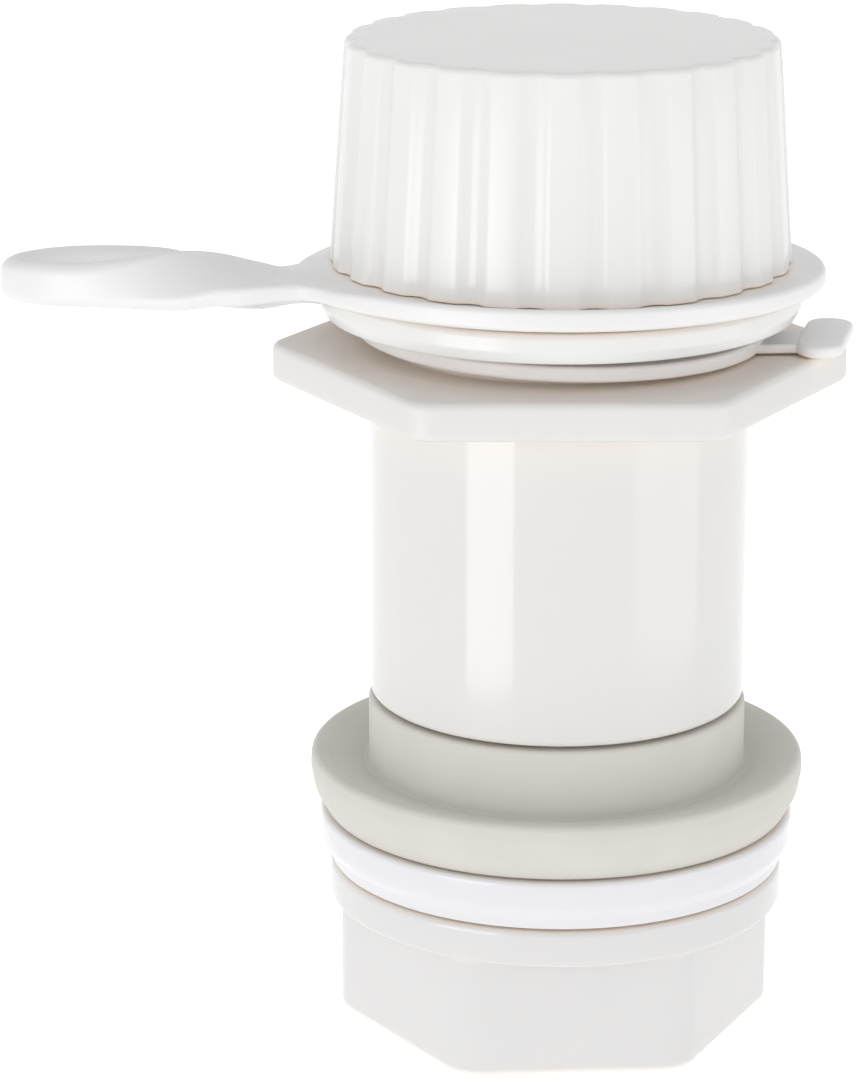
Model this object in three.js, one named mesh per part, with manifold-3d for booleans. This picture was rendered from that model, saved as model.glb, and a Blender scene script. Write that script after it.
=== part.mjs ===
// Drain fitting for an ice chest: a hex-flanged tube that passes through the chest wall, with a
// screw cap on a tether outside and a rubber grommet, a slip ring and a flanged nut inside.
//
// Millimetres, +Z up. The fitting stands on its nut. Every round part shares one upright axis,
// the drain axis, and the tether loops out to the -X side, so the drain axis stands at AXIS_X to
// keep the origin below the middle of the whole fitting.

import * as THREE from "three";
import { mergeVertices } from "three/addons/utils/BufferGeometryUtils.js";
import Module from "manifold-3d";

const wasm = await Module();
wasm.setup();

// ---------------------------------------------------------------- driving dimensions

const AXIS_X = 9.05; // drain axis, from the middle of the whole fitting
const ROUND_SEGMENTS = 40; // facets round a turned part
const SEAT_GAP = 0.25; // left between pieces that rest on each other

// Threads: one pitch throughout, right-handed, 0.35 mm radial play
const PITCH = 2.209; // 11.5 threads per inch, as on a garden hose
const THREAD_PLAY = 0.35;
const THREAD_SEGMENTS = 20; // per turn
const THREAD_ROOT_HALF = 0.64; // half thickness of a ridge at its root
const THREAD_CREST_HALF = 0.22; // and at its crest
const THREAD_BURY = 0.3; // how far a ridge is sunk in the wall it stands on
const THREAD_FADE = 4; // steps over which each end of a ridge fades out

// Drain body
const BORE_R = 9.0;
const TUBE_R = 13.3;
const TUBE_FOOT_Z = 24.1;
const HEX_FOOT_Z = 46.9;
const HEX_TOP_Z = 49.55;
const HEX_CORNER_R = 20.42; // sharp corner of the hexagon
const HEX_ROUNDING = 2.4; // radius of its rounded corners
const NECK_MAJOR_R = 13.45;
const NECK_MINOR_R = 12.15;
const NECK_RELIEF_R = 12.0; // plain groove that the tether's lower ring sits in
const NECK_THREAD_Z = [54.6, 65.2]; // first and last ridge centre
const NECK_TOP_Z = 66.6;
const TAIL_MAJOR_R = 11.6;
const TAIL_MINOR_R = 10.5;
const TAIL_THREAD_Z = [2.0, 12.6];
const TAIL_SHANK_Z = 14.2; // the tail is plain above this
const TAIL_FOOT_Z = 0.6;

// Nut
const NUT_CORNER_R = 15.93;
const NUT_ROUNDING = 3.0;
const NUT_TURN = 3.6; // degrees
const NUT_HEX_TOP_Z = 9.1;
const NUT_FLANGE_R = 16.24;
const NUT_TOP_Z = 11.7;
const NUT_THREAD_Z = [1.9, 9.6];

// Slip ring
const SLIP_FOOT_Z = 11.95;
const SLIP_TOP_Z = 15.4;
const SLIP_BORE_R = 12.0;

// Grommet
const GROMMET_FOOT_Z = 15.65;
const GROMMET_BORE_R = 11.9;
const GROMMET_LAND_Z = 19.05; // flat land round the collar
const GROMMET_RIM_Z = 19.9;
const COLLAR_R = 13.44;
const COLLAR_TOP_Z = TUBE_FOOT_Z - SEAT_GAP;

// Cap
const CAP_TOP_Z = 71.0;
const CAP_TOP_R = 14.97;
const CAP_FOOT_Z = 55.54; // foot of the fluted grip
const CAP_FOOT_R = 16.02;
const CAP_EDGE = 0.7; // rounding of the top edge
const FLUTES = 24;
const FLUTE_DEPTH = 0.55;
const FLUTE_SHARE = 0.46; // part of each pitch that the hollow takes
const FLUTE_PHASE = 6.2; // degrees from the front to the first hollow
const FLUTE_STEPS = 6; // points across one flute and its land
const CAP_GROOVE_R = 14.7;
const CAP_FLANGE_TOP_Z = 54.0;
const CAP_FLANGE_R = 16.8;
const CAP_SKIRT_Z = 51.9;
const CAP_BORE_R = NECK_MAJOR_R + THREAD_PLAY;
const CAP_CEILING_Z = 68.4;
const CAP_THREAD_Z = [56.4, 63.6];

// Gasket in the cap
const GASKET_R = 13.4;
const GASKET_BORE_R = 9.2;
const GASKET_FOOT_Z = NECK_TOP_Z + SEAT_GAP;
const GASKET_TOP_Z = CAP_CEILING_Z - SEAT_GAP;

// Tether: an upper ring in the cap's groove, a strap, and a lower ring round the neck
const CAP_RING_BORE_R = 15.0;
const CAP_RING_R = 18.37;
const CAP_RING_Z = [54.25, 55.29]; // flat inner part
const CAP_RING_RIM_Z = [54.4, 55.8]; // thicker rim
const BODY_RING_BORE_R = 12.5;
const BODY_RING_R = 14.3;
const BODY_RING_THICK = 1.1;
const BODY_RING_Z = 50.7; // its middle
const BODY_RING_TILT = 1.6; // degrees, down on the +X side
const TAB_CENTRE = new THREE.Vector3(18.55, -1.2, 50.1);
const TAB_LENGTH = 9.6;
const TAB_WIDTH = 3.4;
const TAB_THICK = 0.75;
const TAB_TURN = -12; // degrees
const STRAP_THICK = 1.4;

// Middle line of the strap from the upper ring round the loop to the lower ring. Each place
// gives x, y, z, the strap's width there, and how far it is twisted from lying flat, in degrees.
const STRAP_PLACES = [
  [-19.1, -4.2, 54.7, 6.6, 0],
  [-20.6, -4.5, 54.75, 6.0, -2],
  [-22.2, -4.9, 54.9, 5.2, -7],
  [-24.2, -5.3, 55.17, 4.5, -18],
  [-26.8, -5.9, 55.2, 3.9, -45],
  [-29.5, -6.3, 55.07, 3.2, -74],
  [-32.5, -6.4, 55.0, 2.9, -89],
  [-35.4, -5.9, 55.0, 2.9, -90],
  [-37.7, -4.6, 54.95, 2.85, -90],
  [-38.25, -2.7, 54.9, 2.85, -90],
  [-37.6, -0.8, 54.85, 2.85, -90],
  [-34.6, 0.7, 54.78, 2.85, -90],
  [-31.0, 1.3, 54.68, 2.9, -90],
  [-27.2, 2.0, 54.2, 3.0, -88],
  [-24.0, 3.3, 53.1, 3.1, -78],
  [-21.3, 5.0, 52.1, 3.2, -55],
  [-18.8, 6.6, 51.4, 3.5, -18],
  [-16.2, 8.3, 51.05, 3.7, 0],
  [-13.1, 9.3, 51.0, 3.8, 0],
];
const STRAP_STEPS = 54;

// ---------------------------------------------------------------- solids

// A closed three.js geometry as a solid that can be joined and cut.
function solid(geometry) {
  const bare = geometry.index ? geometry.toNonIndexed() : geometry.clone();
  for (const name of Object.keys(bare.attributes)) {
    if (name !== "position") {
      bare.deleteAttribute(name);
    }
  }
  const merged = mergeVertices(bare, 1e-5);
  return new wasm.Manifold(
    new wasm.Mesh({
      numProp: 3,
      vertProperties: new Float32Array(merged.attributes.position.array),
      triVerts: new Uint32Array(merged.index.array),
    }),
  );
}

// The geometry of a joined and cut solid.
function geometryOf(shape) {
  const mesh = shape.getMesh();
  const geometry = new THREE.BufferGeometry();
  geometry.setAttribute("position", new THREE.BufferAttribute(mesh.vertProperties, 3));
  geometry.setIndex(new THREE.BufferAttribute(mesh.triVerts, 1));
  geometry.computeVertexNormals();
  return geometry;
}

// Turned solid about +Z. The profile is a list of [radius, z] places, going up the outside and
// down the inside, and it closes on itself or runs from axis to axis.
function turned(profile, segments = ROUND_SEGMENTS) {
  const points = profile.map(([radius, z]) => new THREE.Vector2(radius, z));
  const onAxis = points[0].x === 0;
  if (!onAxis) {
    points.push(points[0].clone());
  }
  const geometry = new THREE.LatheGeometry(points, segments);
  geometry.rotateX(Math.PI / 2);
  return geometry;
}

// Solid through a list of rings that all have the same number of points. The rings run
// counterclockwise as seen from the end of the list.
function lofted(rings) {
  const count = rings[0].length;
  const positions = [];
  const index = [];
  for (const ring of rings) {
    for (const point of ring) {
      positions.push(point.x, point.y, point.z);
    }
  }
  for (let level = 0; level < rings.length - 1; level++) {
    for (let i = 0; i < count; i++) {
      const a = level * count + i;
      const b = level * count + ((i + 1) % count);
      index.push(a, b, b + count, a, b + count, a + count);
    }
  }
  for (const [level, isEnd] of [[0, false], [rings.length - 1, true]]) {
    const middle = new THREE.Vector3();
    rings[level].forEach((point) => middle.addScaledVector(point, 1 / count));
    const hub = positions.length / 3;
    positions.push(middle.x, middle.y, middle.z);
    for (let i = 0; i < count; i++) {
      const a = level * count + i;
      const b = level * count + ((i + 1) % count);
      index.push(hub, ...(isEnd ? [a, b] : [b, a]));
    }
  }
  const geometry = new THREE.BufferGeometry();
  geometry.setAttribute("position", new THREE.Float32BufferAttribute(positions, 3));
  geometry.setIndex(index);
  return geometry;
}

// Helical ridge of a right-hand thread. It stands on a wall of radius rootR and points outwards
// when crestR is the larger radius, inwards when it is the smaller one. zRange holds the height
// of the ridge's middle at its two ends, and phase shifts the helix by a part of the pitch.
function threadRidge(rootR, crestR, zRange, phase) {
  const outwards = Math.sign(crestR - rootR);
  const buriedR = rootR - outwards * THREAD_BURY;
  const slope = (THREAD_ROOT_HALF - THREAD_CREST_HALF) / Math.abs(crestR - rootR);
  const buriedHalf = THREAD_ROOT_HALF + slope * THREAD_BURY;
  const step = PITCH / THREAD_SEGMENTS;
  const firstStep = Math.ceil((zRange[0] - phase * PITCH) / step);
  const lastStep = Math.floor((zRange[1] - phase * PITCH) / step);
  const rings = [];
  for (let i = firstStep; i <= lastStep; i++) {
    const angle = (i / THREAD_SEGMENTS) * 2 * Math.PI;
    const z = i * step + phase * PITCH;
    const fromEnd = Math.min(i - firstStep, lastStep - i);
    const rise = Math.min(1, (fromEnd + 0.2) / THREAD_FADE);
    const tipR = rootR + (crestR - rootR) * rise;
    const tipHalf = THREAD_ROOT_HALF - slope * Math.abs(tipR - rootR);
    const section = [
      [buriedR, z - buriedHalf],
      [tipR, z - tipHalf],
      [tipR, z + tipHalf],
      [buriedR, z + buriedHalf],
    ];
    if (outwards > 0) {
      section.reverse();
    }
    rings.push(
      section.map(
        ([radius, height]) =>
          new THREE.Vector3(radius * Math.cos(angle), radius * Math.sin(angle), height),
      ),
    );
  }
  return lofted(rings);
}

// Upright hexagonal prism with rounded corners and softened edges. Its corners point along
// +X and every 60 degrees from there.
function hexagon(cornerR, rounding, footZ, topZ, edge) {
  const outline = new THREE.Shape();
  const innerR = cornerR - rounding / Math.cos(Math.PI / 6);
  for (let i = 0; i < 6; i++) {
    const direction = (i * Math.PI) / 3;
    outline.absarc(
      innerR * Math.cos(direction),
      innerR * Math.sin(direction),
      rounding - edge,
      direction - Math.PI / 6,
      direction + Math.PI / 6,
      false,
    );
  }
  const geometry = new THREE.ExtrudeGeometry(outline, {
    depth: topZ - footZ - 2 * edge,
    bevelSize: edge,
    bevelThickness: edge,
    bevelSegments: 2,
    curveSegments: 4,
  });
  geometry.translate(0, 0, footZ + edge);
  return geometry;
}

// ---------------------------------------------------------------- pieces

function drainBody() {
  const tube = turned([
    [BORE_R, TAIL_FOOT_Z],
    [TAIL_MINOR_R, TAIL_FOOT_Z],
    [TAIL_MINOR_R, TAIL_SHANK_Z],
    [TAIL_MAJOR_R, TAIL_SHANK_Z + 0.6],
    [TAIL_MAJOR_R, TUBE_FOOT_Z],
    [TUBE_R - 0.45, TUBE_FOOT_Z],
    [TUBE_R, TUBE_FOOT_Z + 0.45],
    [TUBE_R, HEX_FOOT_Z + 1],
    [NECK_RELIEF_R, HEX_FOOT_Z + 1],
    [NECK_RELIEF_R, 52.8],
    [NECK_MINOR_R, 53.2],
    [NECK_MINOR_R, NECK_TOP_Z - 0.5],
    [NECK_MINOR_R - 0.5, NECK_TOP_Z],
    [BORE_R, NECK_TOP_Z],
  ]);
  const flange = solid(hexagon(HEX_CORNER_R, HEX_ROUNDING, HEX_FOOT_Z, HEX_TOP_Z, 0.4));
  const passage = solid(turned([[0, 40], [TUBE_R - 1, 40], [TUBE_R - 1, 56], [0, 56]]));
  const neckThread = solid(threadRidge(NECK_MINOR_R, NECK_MAJOR_R, NECK_THREAD_Z, 0));
  const tailThread = solid(threadRidge(TAIL_MINOR_R, TAIL_MAJOR_R, TAIL_THREAD_Z, 0));
  return geometryOf(
    solid(tube).add(flange.subtract(passage)).add(neckThread).add(tailThread),
  );
}

function nut() {
  const hex = solid(hexagon(NUT_CORNER_R, NUT_ROUNDING, 0, NUT_HEX_TOP_Z + 1, 0.5));
  const flange = solid(
    turned([
      [0, NUT_HEX_TOP_Z],
      [NUT_FLANGE_R - 0.35, NUT_HEX_TOP_Z],
      [NUT_FLANGE_R, NUT_HEX_TOP_Z + 0.35],
      [NUT_FLANGE_R, NUT_TOP_Z - 0.4],
      [NUT_FLANGE_R - 0.4, NUT_TOP_Z],
      [0, NUT_TOP_Z],
    ]),
  );
  const boreR = TAIL_MAJOR_R + THREAD_PLAY;
  const bore = solid(turned([[0, -1], [boreR, -1], [boreR, 13], [0, 13]]));
  const thread = solid(
    threadRidge(boreR, TAIL_MINOR_R + THREAD_PLAY, NUT_THREAD_Z, 0.5),
  );
  const turnedHex = hex.rotate([0, 0, NUT_TURN]);
  return geometryOf(turnedHex.add(flange).subtract(bore).add(thread));
}

function slipRing() {
  return turned([
    [SLIP_BORE_R, SLIP_FOOT_Z],
    [16.0, SLIP_FOOT_Z],
    [16.35, SLIP_FOOT_Z + 0.2],
    [16.62, SLIP_FOOT_Z + 0.75],
    [16.84, SLIP_FOOT_Z + 1.7],
    [16.94, SLIP_FOOT_Z + 2.7],
    [16.85, SLIP_TOP_Z - 0.2],
    [16.6, SLIP_TOP_Z],
    [SLIP_BORE_R, SLIP_TOP_Z],
  ]);
}

function grommet() {
  return turned([
    [GROMMET_BORE_R, GROMMET_FOOT_Z],
    [16.3, GROMMET_FOOT_Z],
    [16.95, GROMMET_FOOT_Z + 0.35],
    [17.35, GROMMET_FOOT_Z + 1.3],
    [17.6, GROMMET_FOOT_Z + 2.6],
    [17.62, GROMMET_RIM_Z - 0.75],
    [17.4, GROMMET_RIM_Z - 0.15],
    [17.05, GROMMET_RIM_Z],
    [16.6, GROMMET_RIM_Z - 0.2],
    [15.6, GROMMET_LAND_Z],
    [COLLAR_R, GROMMET_LAND_Z],
    [COLLAR_R, COLLAR_TOP_Z - 0.3],
    [COLLAR_R - 0.3, COLLAR_TOP_Z],
    [GROMMET_BORE_R, COLLAR_TOP_Z],
  ]);
}

// Outline of the cap's grip at one height: round lands with a hollow between each two.
function fluteRing(radius, z) {
  const ring = [];
  const phase = THREE.MathUtils.degToRad(FLUTE_PHASE - 90);
  for (let i = 0; i < FLUTES * FLUTE_STEPS; i++) {
    const place = (i % FLUTE_STEPS) / FLUTE_STEPS; // 0 is the middle of a hollow
    const fromMiddle = Math.min(place, 1 - place) / (FLUTE_SHARE / 2);
    const hollow = fromMiddle < 1 ? Math.cos((fromMiddle * Math.PI) / 2) : 0;
    const r = radius - FLUTE_DEPTH * hollow;
    const angle = phase + (i / (FLUTES * FLUTE_STEPS)) * 2 * Math.PI;
    ring.push(new THREE.Vector3(r * Math.cos(angle), r * Math.sin(angle), z));
  }
  return ring;
}

function cap() {
  const edgeZ = CAP_TOP_Z - CAP_EDGE;
  const grip = solid(
    lofted([
      fluteRing(CAP_FOOT_R - 0.25, CAP_FOOT_Z),
      fluteRing(CAP_FOOT_R, CAP_FOOT_Z + 0.25),
      fluteRing(CAP_TOP_R, edgeZ),
      fluteRing(CAP_TOP_R - 0.2, edgeZ + 0.5),
      fluteRing(CAP_TOP_R - CAP_EDGE, CAP_TOP_Z),
    ]),
  );
  const skirt = solid(
    turned([
      [0, CAP_SKIRT_Z],
      [CAP_FLANGE_R - 0.45, CAP_SKIRT_Z],
      [CAP_FLANGE_R, CAP_SKIRT_Z + 0.5],
      [CAP_FLANGE_R, CAP_FLANGE_TOP_Z - 0.5],
      [CAP_FLANGE_R - 0.4, CAP_FLANGE_TOP_Z],
      [CAP_GROOVE_R, CAP_FLANGE_TOP_Z],
      [CAP_GROOVE_R, CAP_FOOT_Z + 1],
      [0, CAP_FOOT_Z + 1],
    ]),
  );
  const hollow = solid(
    turned([
      [0, CAP_SKIRT_Z - 1],
      [CAP_BORE_R, CAP_SKIRT_Z - 1],
      [CAP_BORE_R, CAP_CEILING_Z],
      [0, CAP_CEILING_Z],
    ]),
  );
  const thread = solid(
    threadRidge(CAP_BORE_R, NECK_MINOR_R + THREAD_PLAY, CAP_THREAD_Z, 0.5),
  );
  return geometryOf(grip.add(skirt).subtract(hollow).add(thread));
}

function capGasket() {
  return turned([
    [GASKET_BORE_R, GASKET_FOOT_Z],
    [GASKET_R, GASKET_FOOT_Z],
    [GASKET_R, GASKET_TOP_Z],
    [GASKET_BORE_R, GASKET_TOP_Z],
  ]);
}

function capRing() {
  const [foot, top] = CAP_RING_Z;
  const [rimFoot, rimTop] = CAP_RING_RIM_Z;
  return turned([
    [CAP_RING_BORE_R, foot],
    [17.0, foot],
    [CAP_RING_R - 0.5, rimFoot],
    [CAP_RING_R - 0.1, rimFoot + 0.35],
    [CAP_RING_R, rimFoot + 0.7],
    [CAP_RING_R - 0.12, rimTop - 0.3],
    [CAP_RING_R - 0.5, rimTop],
    [17.2, rimTop - 0.2],
    [16.4, top],
    [CAP_RING_BORE_R, top],
  ]);
}

// Lower ring with the pull tab that it is stretched over the neck by.
function bodyRing() {
  const half = BODY_RING_THICK / 2;
  const ring = turned([
    [BODY_RING_BORE_R, -half],
    [BODY_RING_R - 0.25, -half],
    [BODY_RING_R, -half + 0.25],
    [BODY_RING_R, half - 0.25],
    [BODY_RING_R - 0.25, half],
    [BODY_RING_BORE_R, half],
  ]);
  ring.rotateY(THREE.MathUtils.degToRad(BODY_RING_TILT));
  ring.translate(0, 0, BODY_RING_Z);

  const outline = new THREE.Shape();
  const endR = TAB_WIDTH / 2 - 0.2;
  const reach = TAB_LENGTH / 2 - TAB_WIDTH / 2;
  outline.absarc(0, reach, endR, 0, Math.PI, false);
  outline.absarc(0, -reach, endR, Math.PI, 2 * Math.PI, false);
  const tab = new THREE.ExtrudeGeometry(outline, {
    depth: TAB_THICK - 0.4,
    bevelSize: 0.2,
    bevelThickness: 0.2,
    bevelSegments: 1,
    curveSegments: 6,
  });
  tab.translate(0, 0, 0.2 - TAB_THICK / 2);
  tab.rotateZ(THREE.MathUtils.degToRad(TAB_TURN));
  tab.translate(...TAB_CENTRE);

  const stem = new THREE.BoxGeometry(4.4, 2.6, 0.7);
  stem.rotateZ(THREE.MathUtils.degToRad(-4));
  stem.translate(15.8, -1.1, 50.13);
  return geometryOf(solid(ring).add(solid(tab)).add(solid(stem)));
}

// Strap swept along its middle line, with a rectangular section that widens and twists.
function tetherStrap() {
  const middle = new THREE.CatmullRomCurve3(
    STRAP_PLACES.map(([x, y, z]) => new THREE.Vector3(x, y, z)),
    false,
    "centripetal",
  );
  const last = STRAP_PLACES.length - 1;
  const up = new THREE.Vector3(0, 0, 1);
  const rings = [];
  for (let step = 0; step <= STRAP_STEPS; step++) {
    const along = step / STRAP_STEPS;
    const place = Math.min(Math.floor(along * last), last - 1);
    const blend = along * last - place;
    const [, , , widthA, twistA] = STRAP_PLACES[place];
    const [, , , widthB, twistB] = STRAP_PLACES[place + 1];
    const width = THREE.MathUtils.lerp(widthA, widthB, blend);
    const twist = THREE.MathUtils.degToRad(THREE.MathUtils.lerp(twistA, twistB, blend));
    const tangent = middle.getTangent(along);
    const sideways = new THREE.Vector3().crossVectors(up, tangent).normalize();
    const above = new THREE.Vector3().crossVectors(tangent, sideways).normalize();
    const across = sideways.clone().multiplyScalar(Math.cos(twist));
    across.addScaledVector(above, Math.sin(twist));
    const through = new THREE.Vector3().crossVectors(tangent, across);
    const centre = middle.getPoint(along);
    rings.push(
      [[-1, -1], [1, -1], [1, 1], [-1, 1]].map(([a, t]) =>
        centre
          .clone()
          .addScaledVector(across, (a * width) / 2)
          .addScaledVector(through, (t * STRAP_THICK) / 2),
      ),
    );
  }
  return lofted(rings);
}

// ---------------------------------------------------------------- assembly

const GLOSSY_WHITE = { color: "#e8e7e6", roughness: 0.28, metalness: 0 };
const BODY_WHITE = { color: "#eae8e3", roughness: 0.34, metalness: 0 };
const COOL_WHITE = { color: "#ececf4", roughness: 0.2, metalness: 0 };
const CAP_WHITE = { color: "#ecebe9", roughness: 0.36, metalness: 0 };
const TETHER_WHITE = { color: "#e9e8e6", roughness: 0.42, metalness: 0 };
const GREY_RUBBER = { color: "#cdccc4", roughness: 0.75, metalness: 0 };
const DARK_RUBBER = { color: "#33322f", roughness: 0.8, metalness: 0 };

const drainFitting = new THREE.Group();
drainFitting.position.x = AXIS_X;

function addPiece(name, geometry, finish) {
  const mesh = new THREE.Mesh(geometry, new THREE.MeshStandardMaterial(finish));
  mesh.name = name;
  drainFitting.add(mesh);
}

addPiece("nut", nut(), GLOSSY_WHITE);
addPiece("slip_ring", slipRing(), COOL_WHITE);
addPiece("grommet", grommet(), GREY_RUBBER);
addPiece("drain_body", drainBody(), BODY_WHITE);
addPiece("body_ring", bodyRing(), TETHER_WHITE);
addPiece("tether_strap", tetherStrap(), TETHER_WHITE);
addPiece("cap_ring", capRing(), TETHER_WHITE);
addPiece("cap", cap(), CAP_WHITE);
addPiece("cap_gasket", capGasket(), DARK_RUBBER);

export default drainFitting;
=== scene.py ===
"""Looks of a threaded drain fitting: hex-flanged tube, fluted screw cap on a tether, rubber
grommet, slip ring and flanged nut. Every piece is built here in mesh code and stands for its
CAD node. Sizes are in millimetres about the drain axis; the last step turns them to metres."""

import math

import bmesh
import bpy
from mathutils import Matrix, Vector


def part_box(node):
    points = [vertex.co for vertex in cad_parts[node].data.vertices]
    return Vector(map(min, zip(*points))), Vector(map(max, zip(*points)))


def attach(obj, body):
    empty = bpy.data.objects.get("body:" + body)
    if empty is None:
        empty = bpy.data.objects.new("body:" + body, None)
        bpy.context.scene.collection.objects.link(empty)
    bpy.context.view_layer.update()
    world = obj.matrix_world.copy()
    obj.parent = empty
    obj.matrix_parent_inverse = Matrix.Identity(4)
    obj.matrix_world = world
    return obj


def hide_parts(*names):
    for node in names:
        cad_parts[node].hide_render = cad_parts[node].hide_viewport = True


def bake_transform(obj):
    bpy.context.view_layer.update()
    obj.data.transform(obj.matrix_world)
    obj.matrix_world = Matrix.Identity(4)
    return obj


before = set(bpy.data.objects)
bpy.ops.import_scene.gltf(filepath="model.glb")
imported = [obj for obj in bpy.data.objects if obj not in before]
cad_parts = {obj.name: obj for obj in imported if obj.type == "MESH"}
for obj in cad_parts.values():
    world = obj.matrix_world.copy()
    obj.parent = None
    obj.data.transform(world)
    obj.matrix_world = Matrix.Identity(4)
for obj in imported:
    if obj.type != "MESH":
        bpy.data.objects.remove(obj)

TAU = 2 * math.pi
MM = 0.001
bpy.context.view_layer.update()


def levels(node):
    """(foot height, top height, half the width along y) of a CAD node, in mm."""
    low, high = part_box(node)
    return low.z / MM, high.z / MM, (high.y - low.y) / 2 / MM


def axis_place():
    """The drain axis's x, in mm: the slip ring is centred on it."""
    low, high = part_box("slip_ring")
    return (low.x + high.x) / 2 / MM


# ---------------------------------------------------------------- places from the frame

AXIS_X = axis_place()
NUT_FOOT, NUT_TOP, NUT_FLANGE_R = levels("nut")
SLIP_FOOT, SLIP_TOP, SLIP_R = levels("slip_ring")
GROMMET_FOOT, COLLAR_TOP, GROMMET_R = levels("grommet")
TAIL_FOOT, NECK_TOP, HEX_APOTHEM = levels("drain_body")
CAP_SKIRT, CAP_TOP, CAP_FLANGE_R = levels("cap")
GASKET_FOOT, GASKET_TOP, GASKET_R = levels("cap_gasket")
CAP_RING_FOOT, _, CAP_RING_R = levels("cap_ring")

# ---------------------------------------------------------------- sizes, in mm

PITCH = 2.209
FADE = PITCH / 5  # rise of the helix over which a ridge's end fades out
RIDGE = (  # one pitch of a thread's section: share of the pitch, share of the ridge's height
    (0.0, 0.0), (0.15, 0.0), (0.205, 0.03), (0.235, 0.14), (0.30, 0.47), (0.375, 0.86),
    (0.405, 0.97), (0.44, 1.0), (0.56, 1.0), (0.595, 0.97), (0.625, 0.86), (0.70, 0.47),
    (0.765, 0.14), (0.795, 0.03), (0.85, 0.0),
)

BORE_R = 9.0
BORE_MIDDLE = 30  # where the bore's lower half meets its upper one
TUBE_R = 13.3
TUBE_FOOT = 24.1
HEX_FOOT = 46.9
HEX_TOP = 49.55
HEX_CORNER_R = HEX_APOTHEM / math.cos(math.pi / 6)
HEX_ROUNDING = 2.4
HEX_EDGE = 0.5
RELIEF_R = 12.0
NECK_MAJOR_R = 13.45
NECK_MINOR_R = 12.15
NECK_WALL = (53.6, 66.0)  # foot and top of the wall that carries the thread
NECK_THREAD = (54.6, 65.2)  # middle of the thread's first ridge and of its last
TAIL_MAJOR_R = 11.6
TAIL_MINOR_R = 10.5
TAIL_WALL = (1.2, 13.6)
TAIL_THREAD = (2.0, 12.6)
THREAD_PLAY = 0.35
INNER_PHASE = 0.5  # an inner thread's ridges stand half a pitch from the outer one's

NUT_CORNER_R = 15.93
NUT_ROUNDING = 3.0
NUT_TURN = math.radians(3.6)
NUT_HEX_TOP = 9.1
NUT_EDGE = 0.7
NUT_BEVEL = 0.6  # at both ends of the nut's bore
NUT_THREAD = (1.9, 9.6)

FLUTES = 24
FLUTE_DEPTH = 0.42
FLUTE_SHARE = 0.52
FLUTE_SOFTNESS = 0.06
FLUTE_PHASE = math.radians(6.2 - 90)
CAP_TOP_R = 14.97
CAP_FOOT = 55.54
CAP_FOOT_R = 16.02
GRIP_FOOT = CAP_FOOT - 0.04  # the grip's underside, just above the upper ring
GRIP_FOOT_EDGE = 0.12
CAP_EDGE = 0.45
CAP_GROOVE_R = 14.7
CAP_FLANGE_TOP = 54.0
CAP_BORE_R = NECK_MAJOR_R + THREAD_PLAY
CAP_CEILING = 68.4
CAP_THREAD = (56.4, 63.6)

BODY_RING_TILT = math.radians(1.6)
TAB_TURN = math.radians(-12)

# ---------------------------------------------------------------- mesh building

SHARP_OVER = 38  # degrees between two faces, over which their edge is shaded sharp

class Skin:
    """A mesh gathered face by face. Corners at the same place become one vertex."""

    def __init__(self):
        self.points = []
        self.faces = []
        self.known = {}

    def corner(self, point):
        key = tuple(round(value, 4) for value in point)
        if key not in self.known:
            self.known[key] = len(self.points)
            self.points.append(tuple(point))
        return self.known[key]

    def face(self, *points):
        corners = []
        for point in points:
            number = self.corner(point)
            if number not in corners:
                corners.append(number)
        if len(corners) > 2:
            self.faces.append(corners)

    def band(self, lower, upper):
        """Faces between two rings that have the same number of points."""
        count = len(lower)
        for i in range(count):
            j = (i + 1) % count
            self.face(lower[i], lower[j], upper[j], upper[i])

    def shell(self, rings, closed=False):
        for lower, upper in zip(rings, rings[1:]):
            self.band(lower, upper)
        if closed:
            self.band(rings[-1], rings[0])


def polar(radius, angle, z):
    return (radius * math.cos(angle), radius * math.sin(angle), z)


def circle(angles, radius, z):
    return [polar(radius, angle, z) for angle in angles]


def even_angles(count):
    return [TAU * i / count for i in range(count)]


def quarter_turn(steps):
    """Angles from 0 to a quarter turn, both ends included."""
    return [math.pi / 2 * i / steps for i in range(steps + 1)]


def filleted(corners, arc_steps=None):
    """Closed outline through (radius, z, rounding) corners, each rounded by an arc of
    arc_steps steps, or of as many as keep it smooth. A rounding of 0 stays sharp."""
    outline = []
    count = len(corners)
    for i, (radius, z, rounding) in enumerate(corners):
        here = Vector((radius, z))
        if rounding == 0:
            outline.append((radius, z))
            continue
        back = (Vector(corners[i - 1][:2]) - here).normalized()
        ahead = (Vector(corners[(i + 1) % count][:2]) - here).normalized()
        half = back.angle(ahead) / 2
        centre = here + (back + ahead).normalized() * (rounding / math.sin(half))
        start = here + back * (rounding / math.tan(half)) - centre
        end = here + ahead * (rounding / math.tan(half)) - centre
        sweep = start.angle_signed(end)
        steps = arc_steps or max(3, math.ceil(abs(sweep) / math.radians(12)))
        for step in range(steps + 1):
            turn = -sweep * step / steps
            cos, sin = math.cos(turn), math.sin(turn)
            outline.append((
                centre.x + start.x * cos - start.y * sin,
                centre.y + start.x * sin + start.y * cos,
            ))
    return outline


def turned(corners, angles):
    """Closed solid of revolution from a closed outline of (radius, z, rounding) corners."""
    skin = Skin()
    skin.shell([circle(angles, r, z) for r, z in filleted(corners)], closed=True)
    return skin


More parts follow.
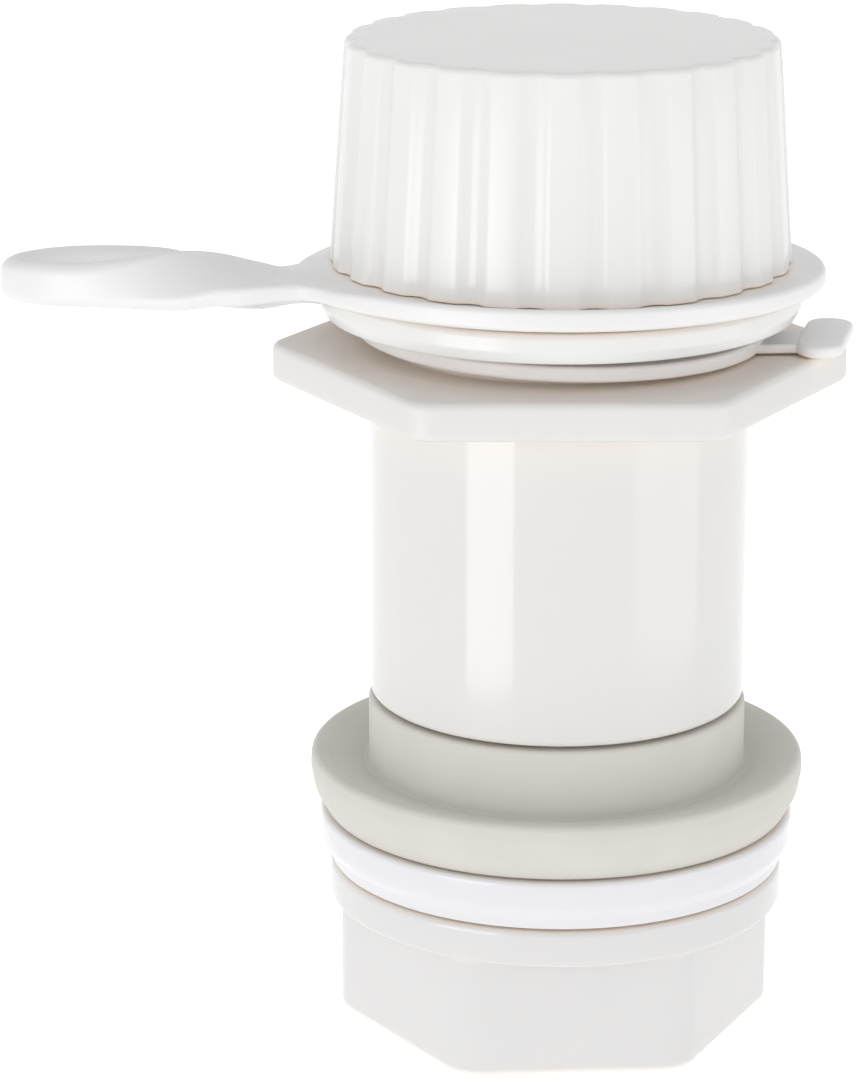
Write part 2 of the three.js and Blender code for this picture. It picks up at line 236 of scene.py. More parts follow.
def hexagon_radius(angle, corner_r, rounding):
    """Distance from the axis to a hexagon with rounded corners, the first of them at angle 0."""
    sector = math.pi / 3
    off = (angle + sector / 2) % sector - sector / 2
    centre = corner_r - rounding / math.cos(math.pi / 6)
    tangent = math.atan2(
        rounding * math.sin(math.pi / 6), centre + rounding * math.cos(math.pi / 6)
    )
    if abs(off) < tangent:
        return centre * math.cos(off) + math.sqrt(rounding**2 - (centre * math.sin(off)) ** 2)
    return corner_r * math.cos(math.pi / 6) / math.cos(math.pi / 6 - abs(off))


def hexagon_angles(corner_r, rounding, turn, corner_steps=10, flat_steps=18):
    """Angles for a hexagon's rings: close together at the corners, wider on the flats."""
    centre = corner_r - rounding / math.cos(math.pi / 6)
    tangent = math.atan2(
        rounding * math.sin(math.pi / 6), centre + rounding * math.cos(math.pi / 6)
    )
    angles = []
    for corner in range(6):
        middle = corner * math.pi / 3 + turn
        for i in range(corner_steps):
            angles.append(middle - tangent + 2 * tangent * i / corner_steps)
        flat = math.pi / 3 - 2 * tangent
        for i in range(flat_steps):
            angles.append(middle + tangent + flat * i / flat_steps)
    return angles


def hexagon_ring(angles, corner_r, rounding, inset, turn, z):
    smaller = corner_r - inset / math.cos(math.pi / 6)
    return [
        polar(hexagon_radius(angle - turn, smaller, rounding - inset), angle, z)
        for angle in angles
    ]


def hexagon_foot(angles, corner_r, rounding, edge, turn, foot):
    """Rings round a hexagonal prism's lower edge, going up."""
    rings = []
    for turned_by in quarter_turn(6):
        inset = edge * (1 - math.sin(turned_by))
        z = foot + edge * (1 - math.cos(turned_by))
        rings.append(hexagon_ring(angles, corner_r, rounding, inset, turn, z))
    return rings


def hexagon_top(angles, corner_r, rounding, edge, turn, top):
    """Rings round a hexagonal prism's upper edge, going up."""
    rings = []
    for turned_by in quarter_turn(6):
        inset = edge * (1 - math.cos(turned_by))
        z = top - edge * (1 - math.sin(turned_by))
        rings.append(hexagon_ring(angles, corner_r, rounding, inset, turn, z))
    return rings


def thread_wall(skin, angles, radii, wall, thread, phase=0.0):
    """Threaded wall. radii are its own and its ridge's, wall its foot and top, thread the
    heights that the ridge's middle climbs from and to, and phase a share of the pitch."""
    wall_r, crest_r = radii
    foot, top = wall
    first, last = thread
    start, end = int(foot // PITCH) - 2, int(top // PITCH) + 2
    rows = [(turn, share, rise) for turn in range(start, end) for share, rise in RIDGE]

    def place(row, angle):
        turn, share, rise = row
        middle = (turn + angle / TAU + phase) * PITCH
        z = min(max(middle + (share - 0.5) * PITCH, foot), top)
        fade = min(max(min(middle - first, last - middle) / FADE, 0), 1)
        return polar(wall_r + (crest_r - wall_r) * rise * fade, angle, z)

    columns = list(angles) + [angles[0] + TAU]
    for lower, upper in zip(rows, rows[1:]):
        for left, right in zip(columns, columns[1:]):
            skin.face(
                place(lower, left), place(lower, right), place(upper, right), place(upper, left)
            )


def mesh_of(name, skin):
    """Blender mesh of a skin, in metres in the row frame, with its faces pointing out."""
    mesh = bpy.data.meshes.new(name)
    points = [((x + AXIS_X) * MM, y * MM, z * MM) for x, y, z in skin.points]
    mesh.from_pydata(points, [], skin.faces)
    shape = bmesh.new()
    shape.from_mesh(mesh)
    bmesh.ops.recalc_face_normals(shape, faces=shape.faces)
    shape.to_mesh(mesh)
    shape.free()
    mesh.polygons.foreach_set("use_smooth", [True] * len(mesh.polygons))
    mesh.set_sharp_from_angle(angle=math.radians(SHARP_OVER))
    return mesh


def piece(name, skin, material, node):
    """Object made of a skin that stands for a CAD node."""
    made = bpy.data.objects.new(name, mesh_of(name, skin))
    bpy.context.scene.collection.objects.link(made)
    made.data.materials.append(material)
    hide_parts(node)
    return made


# ---------------------------------------------------------------- materials

# Colour painted into gaps and corners as painted light: lighter and warmer than the plastic,
# where nearby surfaces block light.
WARM_SHADE = "#f6ebe0"


def linear(colour):
    """Linear RGBA of a hex sRGB colour."""
    values = [int(colour[i : i + 2], 16) / 255 for i in (1, 3, 5)]
    return [v / 12.92 if v <= 0.04045 else ((v + 0.055) / 1.055) ** 2.4 for v in values] + [1]


class Surface:
    """A procedural material that is built up step by step round one Principled shader."""

    def __init__(self, name):
        self.material = bpy.data.materials.new(name)
        self.material.use_nodes = True
        self.nodes = self.material.node_tree.nodes
        self.links = self.material.node_tree.links
        self.shader = self.nodes["Principled BSDF"]
        self.place = self.nodes.new("ShaderNodeTexCoord").outputs["Object"]
        self.height = None

    def set(self, **values):
        for name, value in values.items():
            self.shader.inputs[name.replace("_", " ")].default_value = value

    def noise(self, per_mm, detail):
        """Noise with per_mm bumps to the millimetre."""
        noise = self.nodes.new("ShaderNodeTexNoise")
        noise.inputs["Scale"].default_value = per_mm / MM
        noise.inputs["Detail"].default_value = detail
        self.links.new(self.place, noise.inputs["Vector"])
        return noise.outputs["Fac"]

    def spread(self, value, low, high):
        """value, drawn out from its middle to run softly from low to high."""
        ramp = self.nodes.new("ShaderNodeMapRange")
        ramp.interpolation_type = "SMOOTHSTEP"
        ramp.inputs["From Min"].default_value = 0.15
        ramp.inputs["From Max"].default_value = 0.85
        ramp.inputs["To Min"].default_value = low
        ramp.inputs["To Max"].default_value = high
        self.links.new(value, ramp.inputs["Value"])
        return ramp.outputs["Result"]

    def colour(self, first, second, value):
        """Base colour that drifts between two close colours."""
        mix = self.nodes.new("ShaderNodeMix")
        mix.data_type = "RGBA"
        mix.inputs[6].default_value = linear(first)
        mix.inputs[7].default_value = linear(second)
        self.links.new(value, mix.inputs["Factor"])
        self.links.new(mix.outputs[2], self.shader.inputs["Base Color"])

    def paint_gap_light(self, warm, reach_mm):
        """Paints light into the base colour: where nearby surfaces close it in and block light,
        it turns lighter and warmer, a painted warm glow in gaps and corners.
        """
        base = self.shader.inputs["Base Color"]
        plain = base.links[0].from_socket
        closed = self.nodes.new("ShaderNodeAmbientOcclusion")
        closed.samples = 8
        closed.inputs["Distance"].default_value = reach_mm * MM
        mix = self.nodes.new("ShaderNodeMix")
        mix.data_type = "RGBA"
        mix.inputs[6].default_value = linear(warm)
        self.links.new(plain, mix.inputs[7])
        self.links.new(closed.outputs["AO"], mix.inputs["Factor"])
        self.links.new(mix.outputs[2], base)

    def height_share(self, low_mm, high_mm):
        """0 below one height and 1 above the other."""
        split = self.nodes.new("ShaderNodeSeparateXYZ")
        self.links.new(self.place, split.inputs[0])
        ramp = self.nodes.new("ShaderNodeMapRange")
        ramp.inputs["From Min"].default_value = low_mm * MM
        ramp.inputs["From Max"].default_value = high_mm * MM
        self.links.new(split.outputs["Z"], ramp.inputs["Value"])
        return ramp.outputs["Result"]

    def between(self, first, second, share):
        """A value that goes from the socket first to the number second with share."""
        mix = self.nodes.new("ShaderNodeMix")
        self.links.new(first, mix.inputs[2])
        mix.inputs[3].default_value = second
        self.links.new(share, mix.inputs[0])
        return mix.outputs[0]

    def roughness(self, value):
        self.links.new(value, self.shader.inputs["Roughness"])

    def bump(self, value, strength, depth_mm):
        """Adds relief of depth_mm; each call stands on the one before."""
        bump = self.nodes.new("ShaderNodeBump")
        bump.inputs["Strength"].default_value = strength
        bump.inputs["Distance"].default_value = depth_mm * MM
        self.links.new(value, bump.inputs["Height"])
        if self.height:
            self.links.new(self.height, bump.inputs["Normal"])
        self.height = bump.outputs["Normal"]
        self.links.new(self.height, self.shader.inputs["Normal"])


def moulded_plastic(name, light, dark, gloss, gap_light_reach, satin_from=None):
    """White moulded plastic with the slow waves that moulding leaves. gloss is (least, most)
    roughness; the next argument is how far out of a gap, in mm, a lighter, warmer colour is
    painted in as painted gap light; and satin_from the height, in mm, that it is satin above."""
    surface = Surface(name)
    surface.colour(light, dark, surface.spread(surface.noise(0.09, 2), 0, 1))
    roughness = surface.spread(surface.noise(0.3, 2), *gloss)
    # Painted light in gaps: the base colour turns lighter and warmer where nearby surfaces block
    # light.
    surface.paint_gap_light(WARM_SHADE, gap_light_reach)
    if satin_from:
        above = surface.height_share(satin_from, satin_from + 0.2)
        roughness = surface.between(roughness, 0.5, above)
    surface.roughness(roughness)
    surface.bump(surface.noise(0.12, 1), 0.25, 0.01)
    surface.set(
        Subsurface_Weight=0.05,
        Subsurface_Scale=1.2 * MM,
        Subsurface_Radius=(1.0, 0.9, 0.75),
        IOR=1.5,
    )
    return surface.material


def rubber(name, light, dark, grain):
    """Matte rubber with a fine pebbled skin and a faint bloom."""
    surface = Surface(name)
    surface.colour(light, dark, surface.spread(surface.noise(0.25, 5), 0, 1))
    surface.roughness(surface.spread(surface.noise(1.5, 4), 0.62, 0.8))
    surface.bump(surface.noise(0.6, 2), 0.4, 0.04)
    surface.bump(surface.noise(14.0, 4), 0.8, grain)
    surface.set(IOR=1.5, Specular_IOR_Level=0.35, Sheen_Weight=0.08, Sheen_Roughness=0.5)
    return surface.material


def floor_paint():
    """Plain pale floor of a light table: it glows a little, so it stays near white."""
    surface = Surface("pale_floor")
    surface.colour("#fbfbfa", "#f7f7f6", surface.spread(surface.noise(0.01, 2), 0, 1))
    surface.set(Roughness=0.7, Emission_Color=(1, 1, 1, 1), Emission_Strength=FLOOR_GLOW)
    return surface.material


# ---------------------------------------------------------------- pieces


def make_nut(material):
    angles = hexagon_angles(NUT_CORNER_R, NUT_ROUNDING, NUT_TURN)
    bore_r = TAIL_MAJOR_R + THREAD_PLAY
    thread_foot, thread_top = NUT_FOOT + NUT_BEVEL, NUT_TOP - NUT_BEVEL
    hexagon = (NUT_CORNER_R, NUT_ROUNDING)
    skin = Skin()
    rings = [circle(angles, bore_r, thread_foot), circle(angles, bore_r + NUT_BEVEL, NUT_FOOT)]
    rings += hexagon_foot(angles, *hexagon, NUT_EDGE, NUT_TURN, NUT_FOOT)
    rings.append(hexagon_ring(angles, *hexagon, 0, NUT_TURN, NUT_HEX_TOP))
    flange = filleted([
        (bore_r, NUT_HEX_TOP, 0),
        (NUT_FLANGE_R, NUT_HEX_TOP, 0.3),
        (NUT_FLANGE_R, NUT_TOP, 0.45),
        (bore_r + NUT_BEVEL, NUT_TOP, 0),
    ])
    rings += [circle(angles, r, z) for r, z in flange[1:]]
    rings.append(circle(angles, bore_r, thread_top))
    skin.shell(rings)
    radii = (bore_r, TAIL_MINOR_R + THREAD_PLAY)
    thread_wall(skin, angles, radii, (thread_foot, thread_top), NUT_THREAD, INNER_PHASE)
    return piece("nut_moulding", skin, material, "nut")


def make_slip_ring(material):
    top = SLIP_TOP + 0.13  # leaves only a thin line under the grommet
    skin = turned([
        (12.0, SLIP_FOOT, 0.2),
        (16.2, SLIP_FOOT, 0.15),
        (16.2, SLIP_FOOT + 0.85, 0.08),
        (16.45, SLIP_FOOT + 0.9, 0.1),
        (16.9, SLIP_FOOT + 1.7, 1.0),
        (SLIP_R, SLIP_FOOT + 2.8, 1.0),
        (SLIP_R, top, 0.3),
        (12.0, top, 0.2),
    ], even_angles(180))
    return piece("slip_ring_moulding", skin, material, "slip_ring")


def make_grommet(material):
    skin = turned([
        (11.9, GROMMET_FOOT, 0.2),
        (16.45, GROMMET_FOOT, 0.55),
        (17.35, GROMMET_FOOT + 1.6, 1.6),
        (GROMMET_R, GROMMET_FOOT + 3.1, 1.6),
        (GROMMET_R - 0.1, 19.9, 0.45),
        (16.5, 19.8, 0.9),
        (13.85, 19.0, 0.08),
        (13.44, 19.0, 0.08),
        (13.44, COLLAR_TOP, 0.35),
        (11.9, COLLAR_TOP, 0.2),
    ], even_angles(180))
    return piece("grommet_rubber_part", skin, material, "grommet")


def make_drain_body(material):
    angles = hexagon_angles(HEX_CORNER_R, HEX_ROUNDING, 0)
    skin = Skin()
    tail = filleted([
        (BORE_R, BORE_MIDDLE, 0),
        (BORE_R, TAIL_FOOT, 0.3),
        (TAIL_MINOR_R, TAIL_FOOT, 0.3),
        (TAIL_MINOR_R, TAIL_WALL[0], 0),
    ])
    skin.shell([circle(angles, r, z) for r, z in tail])
    thread_wall(skin, angles, (TAIL_MINOR_R, TAIL_MAJOR_R), TAIL_WALL, TAIL_THREAD)
    shank = filleted([
        (TAIL_MINOR_R, TAIL_WALL[1], 0),
        (TAIL_MINOR_R, 14.2, 0.2),
        (TAIL_MAJOR_R, 14.8, 0.3),
        (TAIL_MAJOR_R, TUBE_FOOT, 0.2),
        (TUBE_R - 0.02, TUBE_FOOT, 0.5),
        (TUBE_R, HEX_FOOT, 0.4),
        (TUBE_R + 1.2, HEX_FOOT, 0),
    ])
    rings = [circle(angles, r, z) for r, z in shank]
    rings += hexagon_foot(angles, HEX_CORNER_R, HEX_ROUNDING, HEX_EDGE, 0, HEX_FOOT)
    rings += hexagon_top(angles, HEX_CORNER_R, HEX_ROUNDING, HEX_EDGE, 0, HEX_TOP)
    relief = filleted([
        (16.8, HEX_TOP, 0),
        (RELIEF_R, HEX_TOP, 0.3),
        (RELIEF_R, 52.8, 0.2),
        (NECK_MINOR_R, 53.2, 0.2),
        (NECK_MINOR_R, NECK_WALL[0], 0),
    ])
    rings += [circle(angles, r, z) for r, z in relief]
    skin.shell(rings)
    thread_wall(skin, angles, (NECK_MINOR_R, NECK_MAJOR_R), NECK_WALL, NECK_THREAD)
    rim = filleted([
        (NECK_MINOR_R, NECK_WALL[1], 0),
        (NECK_MINOR_R, NECK_TOP, 0.45),
        (BORE_R, NECK_TOP, 0.3),
        (BORE_R, BORE_MIDDLE, 0),
    ])
    skin.shell([circle(angles, r, z) for r, z in rim])
    return piece("drain_body_moulding", skin, material, "drain_body")


def flute_radius(angle, radius):
    """Radius of the cap's grip: round lands with a shallow hollow between each two."""
    pitch = TAU / FLUTES
    off = (angle - FLUTE_PHASE + pitch / 2) % pitch - pitch / 2
    dip = 1 - (2 * abs(off) / (pitch * FLUTE_SHARE)) ** 2
    soft = (dip + math.sqrt(dip * dip + FLUTE_SOFTNESS**2)) / 2
    return radius - FLUTE_DEPTH * soft


def flute_ring(angles, radius, z):
    return [polar(flute_radius(angle, radius), angle, z) for angle in angles]


def grip_radius(z):
    share = (z - CAP_FOOT) / (CAP_TOP - CAP_FOOT)
    return CAP_FOOT_R + (CAP_TOP_R - CAP_FOOT_R) * share


def make_cap(material):
    angles = even_angles(FLUTES * 18)
    skin = Skin()
    rings = [circle(angles, 0, CAP_TOP)]
    rings += [circle(angles, r, CAP_TOP) for r in (3, 7, 11, 13)]
    for turned_by in quarter_turn(6):
        z = CAP_TOP - CAP_EDGE * (1 - math.cos(turned_by))
        radius = grip_radius(CAP_TOP) - CAP_EDGE * (1 - math.sin(turned_by))
        rings.append(flute_ring(angles, radius, z))
    for share in (0.2, 0.4, 0.6, 0.8):
        z = CAP_TOP - CAP_EDGE - share * (CAP_TOP - CAP_EDGE - CAP_FOOT)
        rings.append(flute_ring(angles, grip_radius(z), z))
    for turned_by in quarter_turn(3):
        z = GRIP_FOOT + GRIP_FOOT_EDGE * (1 - math.sin(turned_by))
        radius = grip_radius(CAP_FOOT) - GRIP_FOOT_EDGE * (1 - math.cos(turned_by))
        rings.append(flute_ring(angles, radius, z))
    below = filleted([
        (15.0, GRIP_FOOT, 0),
        (CAP_GROOVE_R, GRIP_FOOT, 0.12),
        (CAP_GROOVE_R, CAP_FLANGE_TOP, 0.2),
        (CAP_FLANGE_R - 0.1, CAP_FLANGE_TOP, 0.5),
        (CAP_FLANGE_R, CAP_SKIRT + 0.9, 0.6),
        (CAP_FLANGE_R - 0.4, CAP_SKIRT, 0.35),
        (CAP_BORE_R, CAP_SKIRT, 0.2),
        (CAP_BORE_R, CAP_SKIRT + 1, 0),
    ])
    rings += [circle(angles, r, z) for r, z in below]
    skin.shell(rings)
    radii = (CAP_BORE_R, NECK_MINOR_R + THREAD_PLAY)
    thread_wall(skin, angles, radii, (CAP_SKIRT + 1, CAP_CEILING - 1), CAP_THREAD, INNER_PHASE)
    ceiling = filleted([
        (CAP_BORE_R, CAP_CEILING - 1, 0),
        (CAP_BORE_R, CAP_CEILING, 0.3),
        (8, CAP_CEILING, 0),
        (0, CAP_CEILING, 0),
    ])
    skin.shell([circle(angles, r, z) for r, z in ceiling])
    return piece("cap_moulding", skin, material, "cap")


def make_gasket(material):
    skin = turned([
        (9.2, GASKET_FOOT, 0.15),
        (GASKET_R, GASKET_FOOT, 0.2),
        (GASKET_R, GASKET_TOP, 0.2),
        (9.2, GASKET_TOP, 0.15),
    ], even_angles(144))
    return piece("cap_washer", skin, material, "cap_gasket")


# The upper ring's rim is soft: it rides high at the front and low behind, and the strap pulls
# it down on each side of its neck. A sag is where it is, its half width in degrees, its depth.
RIM_BACK = 54.9
RIM_RISE = 1.1
RIM_SHARPNESS = 1.6
RIM_SAGS = ((160, 22, 0.45), (207, 12, 0.33))
RIM_THICK = 1.05
RIM_DEEP_FROM = 55.1  # height of the rim above which it also grows deeper
RIM_DEEPENS = 0.5  # by this share of the height above that
RIM_INNER_R = 16.2
NECK_DIRECTION = 192.0
NECK_HALF_WIDTH = 2.6
NECK_REACH = 20.6
NECK_FLARE = 4.7  # extra half width where the neck leaves the ring
NECK_FLARE_FADE = 1.35  # distance over which the flare falls off
NECK_FLARE_R = 16.7


def rim_top(degrees):
    """Height of the upper ring's rim, in mm, at an angle from -90 to 270 degrees."""
    front = (1 - math.sin(math.radians(degrees))) / 2
    height = RIM_BACK + RIM_RISE * front**RIM_SHARPNESS
    for middle, half_width, depth in RIM_SAGS:
        height -= depth * math.exp(-(((degrees - middle) / half_width) ** 2))
    return height


def neck_radius(degrees):
    """Outer radius of the upper ring: round, with a flared neck where the strap leaves it."""
    off = math.radians(degrees - NECK_DIRECTION)
    if abs(off) > math.radians(50):
        return CAP_RING_R
    low, high = CAP_RING_R, NECK_REACH / math.cos(off)
    for _ in range(30):
        middle = (low + high) / 2
        beyond = middle * math.cos(off) - NECK_FLARE_R
        flare = NECK_FLARE * math.exp(-max(beyond, 0) / NECK_FLARE_FADE)
        if abs(middle * math.sin(off)) < NECK_HALF_WIDTH + flare:
            low = middle
        else:
            high = middle
    return low


def make_cap_ring(material):
    count = 480
    inner_top = CAP_FOOT - 0.1
    columns = []
    for i in range(count):
        degrees = -90 + 360 * i / count
        top, outer = rim_top(degrees), neck_radius(degrees)
        foot = top - RIM_THICK - RIM_DEEPENS * max(top - RIM_DEEP_FROM, 0)
        section = filleted([
            (15.0, CAP_RING_FOOT, 0.15),
            (RIM_INNER_R, CAP_RING_FOOT, 0.3),
            (17.6, foot, 0.3),
            (outer, foot, 0.42),
            (outer, top, 0.36),
            (17.9, top, 0.3),
            (RIM_INNER_R, inner_top, 0.3),
            (15.0, inner_top, 0.15),
        ], arc_steps=6)
        angle = math.radians(degrees)
        columns.append([polar(r, angle, z) for r, z in section])
    skin = Skin()
    skin.shell(columns, closed=True)
    return piece("tether_upper_ring", skin, material, "cap_ring")


# Middle line of the strap, from inside the upper ring to inside the lower one: x, y, z, its
# width, its thickness and its twist from lying flat in degrees.
STRAP_PLACES = (
    (-17.3, -3.68, 54.6, 7.4, 0.85, 0),
    (-18.3, -3.9, 54.6, 7.1, 0.98, 0),
    (-19.2, -4.1, 54.65, 6.4, 1.12, -1),
    (-20.6, -4.38, 54.8, 5.9, 1.28, -6),
    (-22.2, -4.75, 54.98, 5.7, 1.4, -13),
    (-24.2, -5.2, 55.2, 5.0, 1.45, -25),
    (-26.8, -5.85, 55.18, 4.25, 1.5, -50),
    (-29.5, -6.3, 55.15, 3.5, 1.6, -74),
    (-32.5, -6.4, 55.08, 3.1, 1.65, -89),
    (-35.4, -5.9, 55.05, 3.0, 1.65, -90),
    (-37.2, -4.6, 54.9, 2.78, 1.65, -90),
    (-37.8, -2.7, 54.8, 2.64, 1.65, -90),
    (-37.1, -0.8, 54.78, 2.7, 1.65, -90),
    (-34.6, 0.7, 54.76, 2.82, 1.65, -90),
    (-31.0, 1.3, 54.68, 2.9, 1.6, -90),
    (-27.6, 1.9, 54.3, 3.0, 1.55, -88),
    (-25.2, 2.8, 53.35, 3.1, 1.52, -83),
    (-24.0, 3.3, 52.9, 3.2, 1.5, -78),
    (-21.3, 5.0, 52.1, 3.2, 1.4, -55),
    (-18.8, 6.6, 51.4, 3.6, 1.25, -18),
    (-16.2, 8.2, 51.1, 4.4, 1.15, 0),
    (-13.0, 9.4, 51.0, 6.0, 1.05, 0),
    (-11.0, 9.0, 50.96, 7.5, 0.9, 0),
)


def curve_through(places, per_span):
    """Smooth curve through a list of number tuples, per_span points to each stretch."""
    made = []
    last = len(places) - 1
    for i in range(last):
        a, b = places[max(i - 1, 0)], places[i]
        c, d = places[i + 1], places[min(i + 2, last)]
        for step in range(per_span):
            t = step / per_span
            made.append([
                0.5 * (2 * q + (r - p) * t + (2 * p - 5 * q + 4 * r - s) * t * t
                       + (3 * q - p - 3 * r + s) * t**3)
                for p, q, r, s in zip(a, b, c, d)
            ])
    made.append(list(places[last]))
    return made


def rounded_section(width, thick, rounding, steps=5):
    """Points round a rectangle with rounded corners, as (across, through)."""
    points = []
    for corner, (side, face) in enumerate(((1, 1), (-1, 1), (-1, -1), (1, -1))):
        for step in range(steps + 1):
            angle = (corner + step / steps) * math.pi / 2
            points.append((
                side * (width / 2 - rounding) + rounding * math.cos(angle),
                face * (thick / 2 - rounding) + rounding * math.sin(angle),
            ))
    return points


def make_strap(material):
    stations = curve_through(STRAP_PLACES, 10)
    up = Vector((0, 0, 1))
    rings = []
    for i, (x, y, z, width, thick, twist) in enumerate(stations):
        before = Vector(stations[max(i - 1, 0)][:3])
        after = Vector(stations[min(i + 1, len(stations) - 1)][:3])
        along = (after - before).normalized()
        sideways = up.cross(along).normalized()
        above = along.cross(sideways).normalized()
        turn = math.radians(twist)
        across = sideways * math.cos(turn) + above * math.sin(turn)
        through = along.cross(across)
        centre = Vector((x, y, z))
        rounding = 0.3 + (thick / 2 - 0.32) * abs(math.sin(turn))
        rings.append([
            tuple(centre + across * a + through * t)
            for a, t in rounded_section(width, thick, rounding)
        ])
    skin = Skin()
    skin.shell(rings)
    skin.face(*rings[0])
    skin.face(*rings[-1])
    return piece("tether_strap_part", skin, material, "tether_strap")


TAB_PLACE = (18.38, -1.3, 50.13)
STEM_PLACE = (-2.6, 50.08)
STEM_WIDTHS = ((12.9, 3.9), (14.2, 3.8), (15.6, 3.6), (16.6, 3.7), (17.6, 4.4))
STEM_THICK = 0.7
LOWER_RING_Z = 50.7
LOWER_RING_BORE_R = 12.5
LOWER_RING_R = 14.3
LOWER_RING_THICK = 1.1


def tab_skin():
    """Pull tab: a round-ended paddle, softened all round."""
    steps = 12
    length, width, thick, edge = 9.3, 3.3, 0.85, 0.3
    middle_x, middle_y, middle_z = TAB_PLACE

    def ring(inset, z):
        points = []
        radius = width / 2 - inset
        reach = length / 2 - width / 2
        for end, side in enumerate((1, -1)):
            for i in range(steps + 1):
                angle = math.pi * (end + i / steps)
                x = radius * math.cos(angle)
                y = side * reach + radius * math.sin(angle)
                cos, sin = math.cos(TAB_TURN), math.sin(TAB_TURN)
                points.append((
                    middle_x + x * cos - y * sin, middle_y + x * sin + y * cos, middle_z + z
                ))
        return points

    skin = Skin()
    rings = []
    for turned_by in quarter_turn(4):
        height = -thick / 2 + edge * (1 - math.cos(turned_by))
        rings.append(ring(edge * (1 - math.sin(turned_by)), height))
    for turned_by in quarter_turn(4):
        height = thick / 2 - edge * (1 - math.sin(turned_by))
        rings.append(ring(edge * (1 - math.cos(turned_by)), height))
    skin.shell(rings)
    skin.face(*rings[0])
    skin.face(*rings[-1])
    return skin


def make_body_ring(material):
    half = LOWER_RING_THICK / 2
    ring = turned([
        (LOWER_RING_BORE_R, -half, 0.2),
        (LOWER_RING_R, -half, 0.3),
        (LOWER_RING_R, half, 0.3),
        (LOWER_RING_BORE_R, half, 0.2),
    ], even_angles(180))
    cos, sin = math.cos(BODY_RING_TILT), math.sin(BODY_RING_TILT)
    ring.points = [
        (x * cos + z * sin, y, LOWER_RING_Z - x * sin + z * cos) for x, y, z in ring.points
    ]
    made = piece("tether_lower_ring", ring, material, "body_ring")

    stem = Skin()
    rings = []
    middle_y, middle_z = STEM_PLACE
    for x, width in STEM_WIDTHS:
        rings.append([
            (x, middle_y + a, middle_z + t)
            for a, t in rounded_section(width, STEM_THICK, 0.25)
        ])
    stem.shell(rings)
    stem.face(*rings[0])
    stem.face(*rings[-1])
    for extra in (tab_skin(), stem):
        join(made, extra)
    return made


def join(made, skin):
    """Joins another skin to a piece as one closed surface."""
    tool = bpy.data.objects.new("joined_shape", mesh_of("joined_shape", skin))
    bpy.context.scene.collection.objects.link(tool)
    union = made.modifiers.new("union", "BOOLEAN")
    union.operation = "UNION"
    union.solver = "EXACT"
    union.object = tool
    bpy.context.view_layer.update()
    ready = made.evaluated_get(bpy.context.evaluated_depsgraph_get())
    mesh = bpy.data.meshes.new_from_object(ready)
    made.modifiers.clear()
    made.data = mesh
    mesh.set_sharp_from_angle(angle=math.radians(SHARP_OVER))
    bpy.data.objects.remove(tool)


# ---------------------------------------------------------------- stage

LENS = 136.76  # mm, on a sensor 36 mm wide
CAMERA_LEFT = 9.21  # mm from the drain axis
CAMERA_AWAY = 0.2790
CAMERA_UP = 0.1169
CAMERA_TILT = math.radians(73.66)

FLOOR_GLOW = 0.42
SKY_DIMS_TOWARDS = (0.45, 0.89, 0)
SKY_FRONT = 1.75
SKY_BACK = 1.0
SKY_TOP = 0.72


def make_camera():
    data = bpy.data.cameras.new("camera")
    data.sensor_width = 36
    data.lens = LENS
    camera = bpy.data.objects.new("camera", data)
    camera.location = ((AXIS_X - CAMERA_LEFT) * MM, -CAMERA_AWAY, CAMERA_UP)
    camera.rotation_euler = (CAMERA_TILT, 0, 0)
    bpy.context.scene.collection.objects.link(camera)
    bpy.context.scene.camera = camera


def make_floor():
    mesh = bpy.data.meshes.new("floor")
    reach = 6.0
    mesh.from_pydata(
        [(-reach, -reach, 0), (reach, -reach, 0), (reach, reach, 0), (-reach, reach, 0)],
        [], [(0, 1, 2, 3)],
    )
    mesh.materials.append(floor_paint())
    floor = bpy.data.objects.new("floor", mesh)
    bpy.context.scene.collection.objects.link(floor)


def make_strip(name, place, aim, size, power):
    """Strip light that is seen only as a highlight on glossy pieces."""
    data = bpy.data.lights.new(name, "AREA")
    data.shape = "RECTANGLE"
    data.size, data.size_y = size
    data.energy = power
    light = bpy.data.objects.new(name, data)
    light.location = place
    direction = Vector(aim) - Vector(place)
    light.rotation_euler = direction.to_track_quat("-Z", "Y").to_euler()
    light.visible_camera = False
    light.visible_diffuse = False
    bpy.context.scene.collection.objects.link(light)


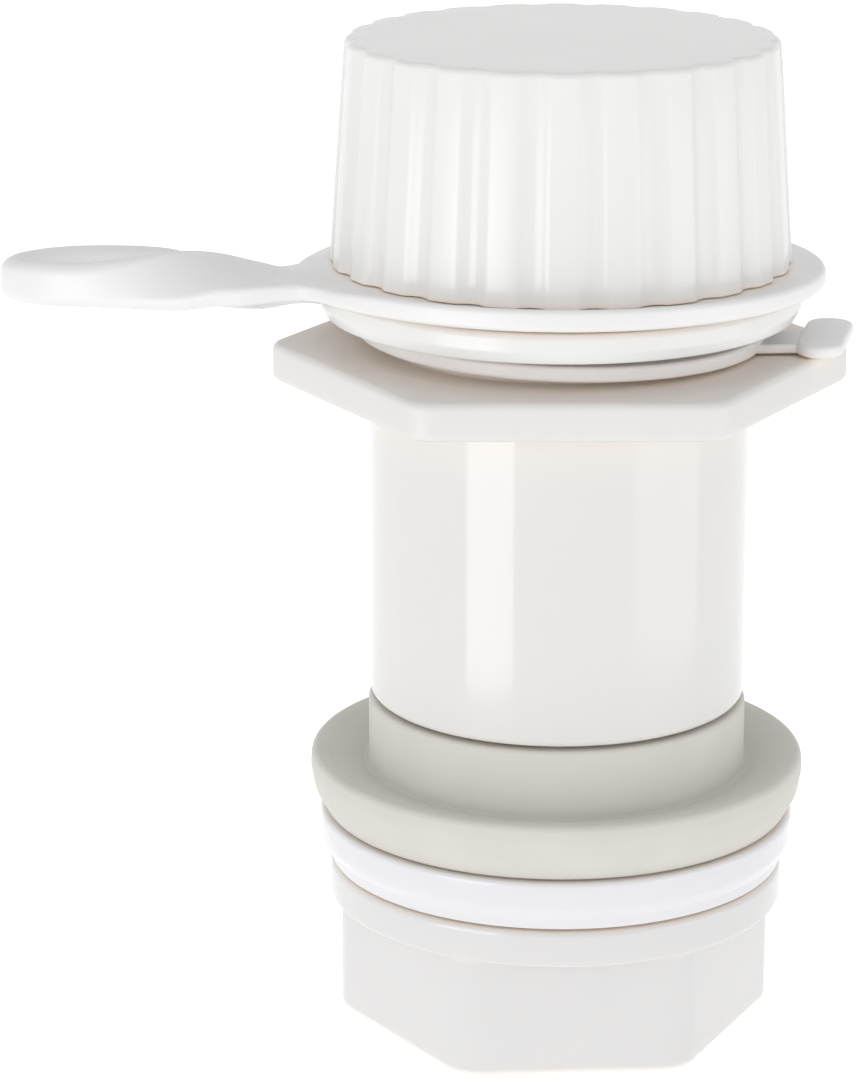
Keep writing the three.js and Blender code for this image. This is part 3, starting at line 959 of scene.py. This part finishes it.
def make_sky():
    """Soft studio surround: bright low down in front, dimmer behind and overhead."""
    world = bpy.data.worlds.new("studio")
    world.use_nodes = True
    nodes, links = world.node_tree.nodes, world.node_tree.links
    place = nodes.new("ShaderNodeTexCoord")
    split = nodes.new("ShaderNodeSeparateXYZ")
    links.new(place.outputs["Generated"], split.inputs[0])

    def ramp(value, start, end, first, last):
        node = nodes.new("ShaderNodeMapRange")
        node.interpolation_type = "SMOOTHSTEP"
        for name, setting in zip(("From Min", "From Max"), (start, end)):
            node.inputs[name].default_value = setting
        links.new(value, node.inputs["Value"])
        for name, setting in zip(("To Min", "To Max"), (first, last)):
            if isinstance(setting, float):
                node.inputs[name].default_value = setting
            else:
                links.new(setting, node.inputs[name])
        return node.outputs["Result"]

    across = nodes.new("ShaderNodeVectorMath")
    across.operation = "DOT_PRODUCT"
    across.inputs[1].default_value = SKY_DIMS_TOWARDS
    links.new(place.outputs["Generated"], across.inputs[0])
    horizon = ramp(across.outputs["Value"], -0.7, 0.7, SKY_FRONT, SKY_BACK)
    strength = ramp(split.outputs["Z"], 0.1, 0.6, horizon, SKY_TOP)
    links.new(strength, nodes["Background"].inputs["Strength"])
    nodes["Background"].inputs["Color"].default_value = (1, 1, 1, 1)
    bpy.context.scene.world = world


def make_lights():
    axis_x, height = AXIS_X * MM, 0.032
    middle = (axis_x, 0, height)
    make_strip("left_strip", (axis_x - 0.049, -0.057, height), middle, (0.038, 0.064), 0.020)
    make_strip("right_strip", (axis_x + 0.072, -0.035, height), middle, (0.066, 0.064), 0.011)


# ---------------------------------------------------------------- build

make_camera()
make_floor()
make_sky()
make_lights()
bpy.context.scene.view_settings.view_transform = "Standard"

# The fifth argument of each plastic is how far its painted gap light reaches, in mm.
nut_white = moulded_plastic("nut_white", "#d6d5d5", "#d4d3d3", (0.12, 0.18), 0.7)
slip_white = moulded_plastic("slip_ring_white", "#dcdce0", "#dadade", (0.12, 0.18), 0.8)
body_white = moulded_plastic("body_white", "#d9d8d6", "#d7d6d4", (0.08, 0.12), 5.0, HEX_FOOT)
cap_white = moulded_plastic("cap_white", "#e1e1e0", "#dfdfde", (0.22, 0.26), 1.0)
tether_white = moulded_plastic("tether_white", "#e3e2e3", "#e0dfe0", (0.35, 0.45), 1.5)
grommet_grey = rubber("grommet_grey", "#cdcbc4", "#c9c7c0", 0.01)
gasket_dark = rubber("gasket_dark", "#33322f", "#2b2a28", 0.01)

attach(make_nut(nut_white), "nut")
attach(make_slip_ring(slip_white), "slip_ring")
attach(make_drain_body(body_white), "drain")
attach(make_grommet(grommet_grey), "drain")
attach(make_body_ring(tether_white), "drain")
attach(make_cap_ring(tether_white), "cap_ring")
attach(make_cap(cap_white), "cap")
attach(make_gasket(gasket_dark), "cap")

# The strap is attached to no body; its place is baked into its mesh.
strap = make_strap(tether_white)
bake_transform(strap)
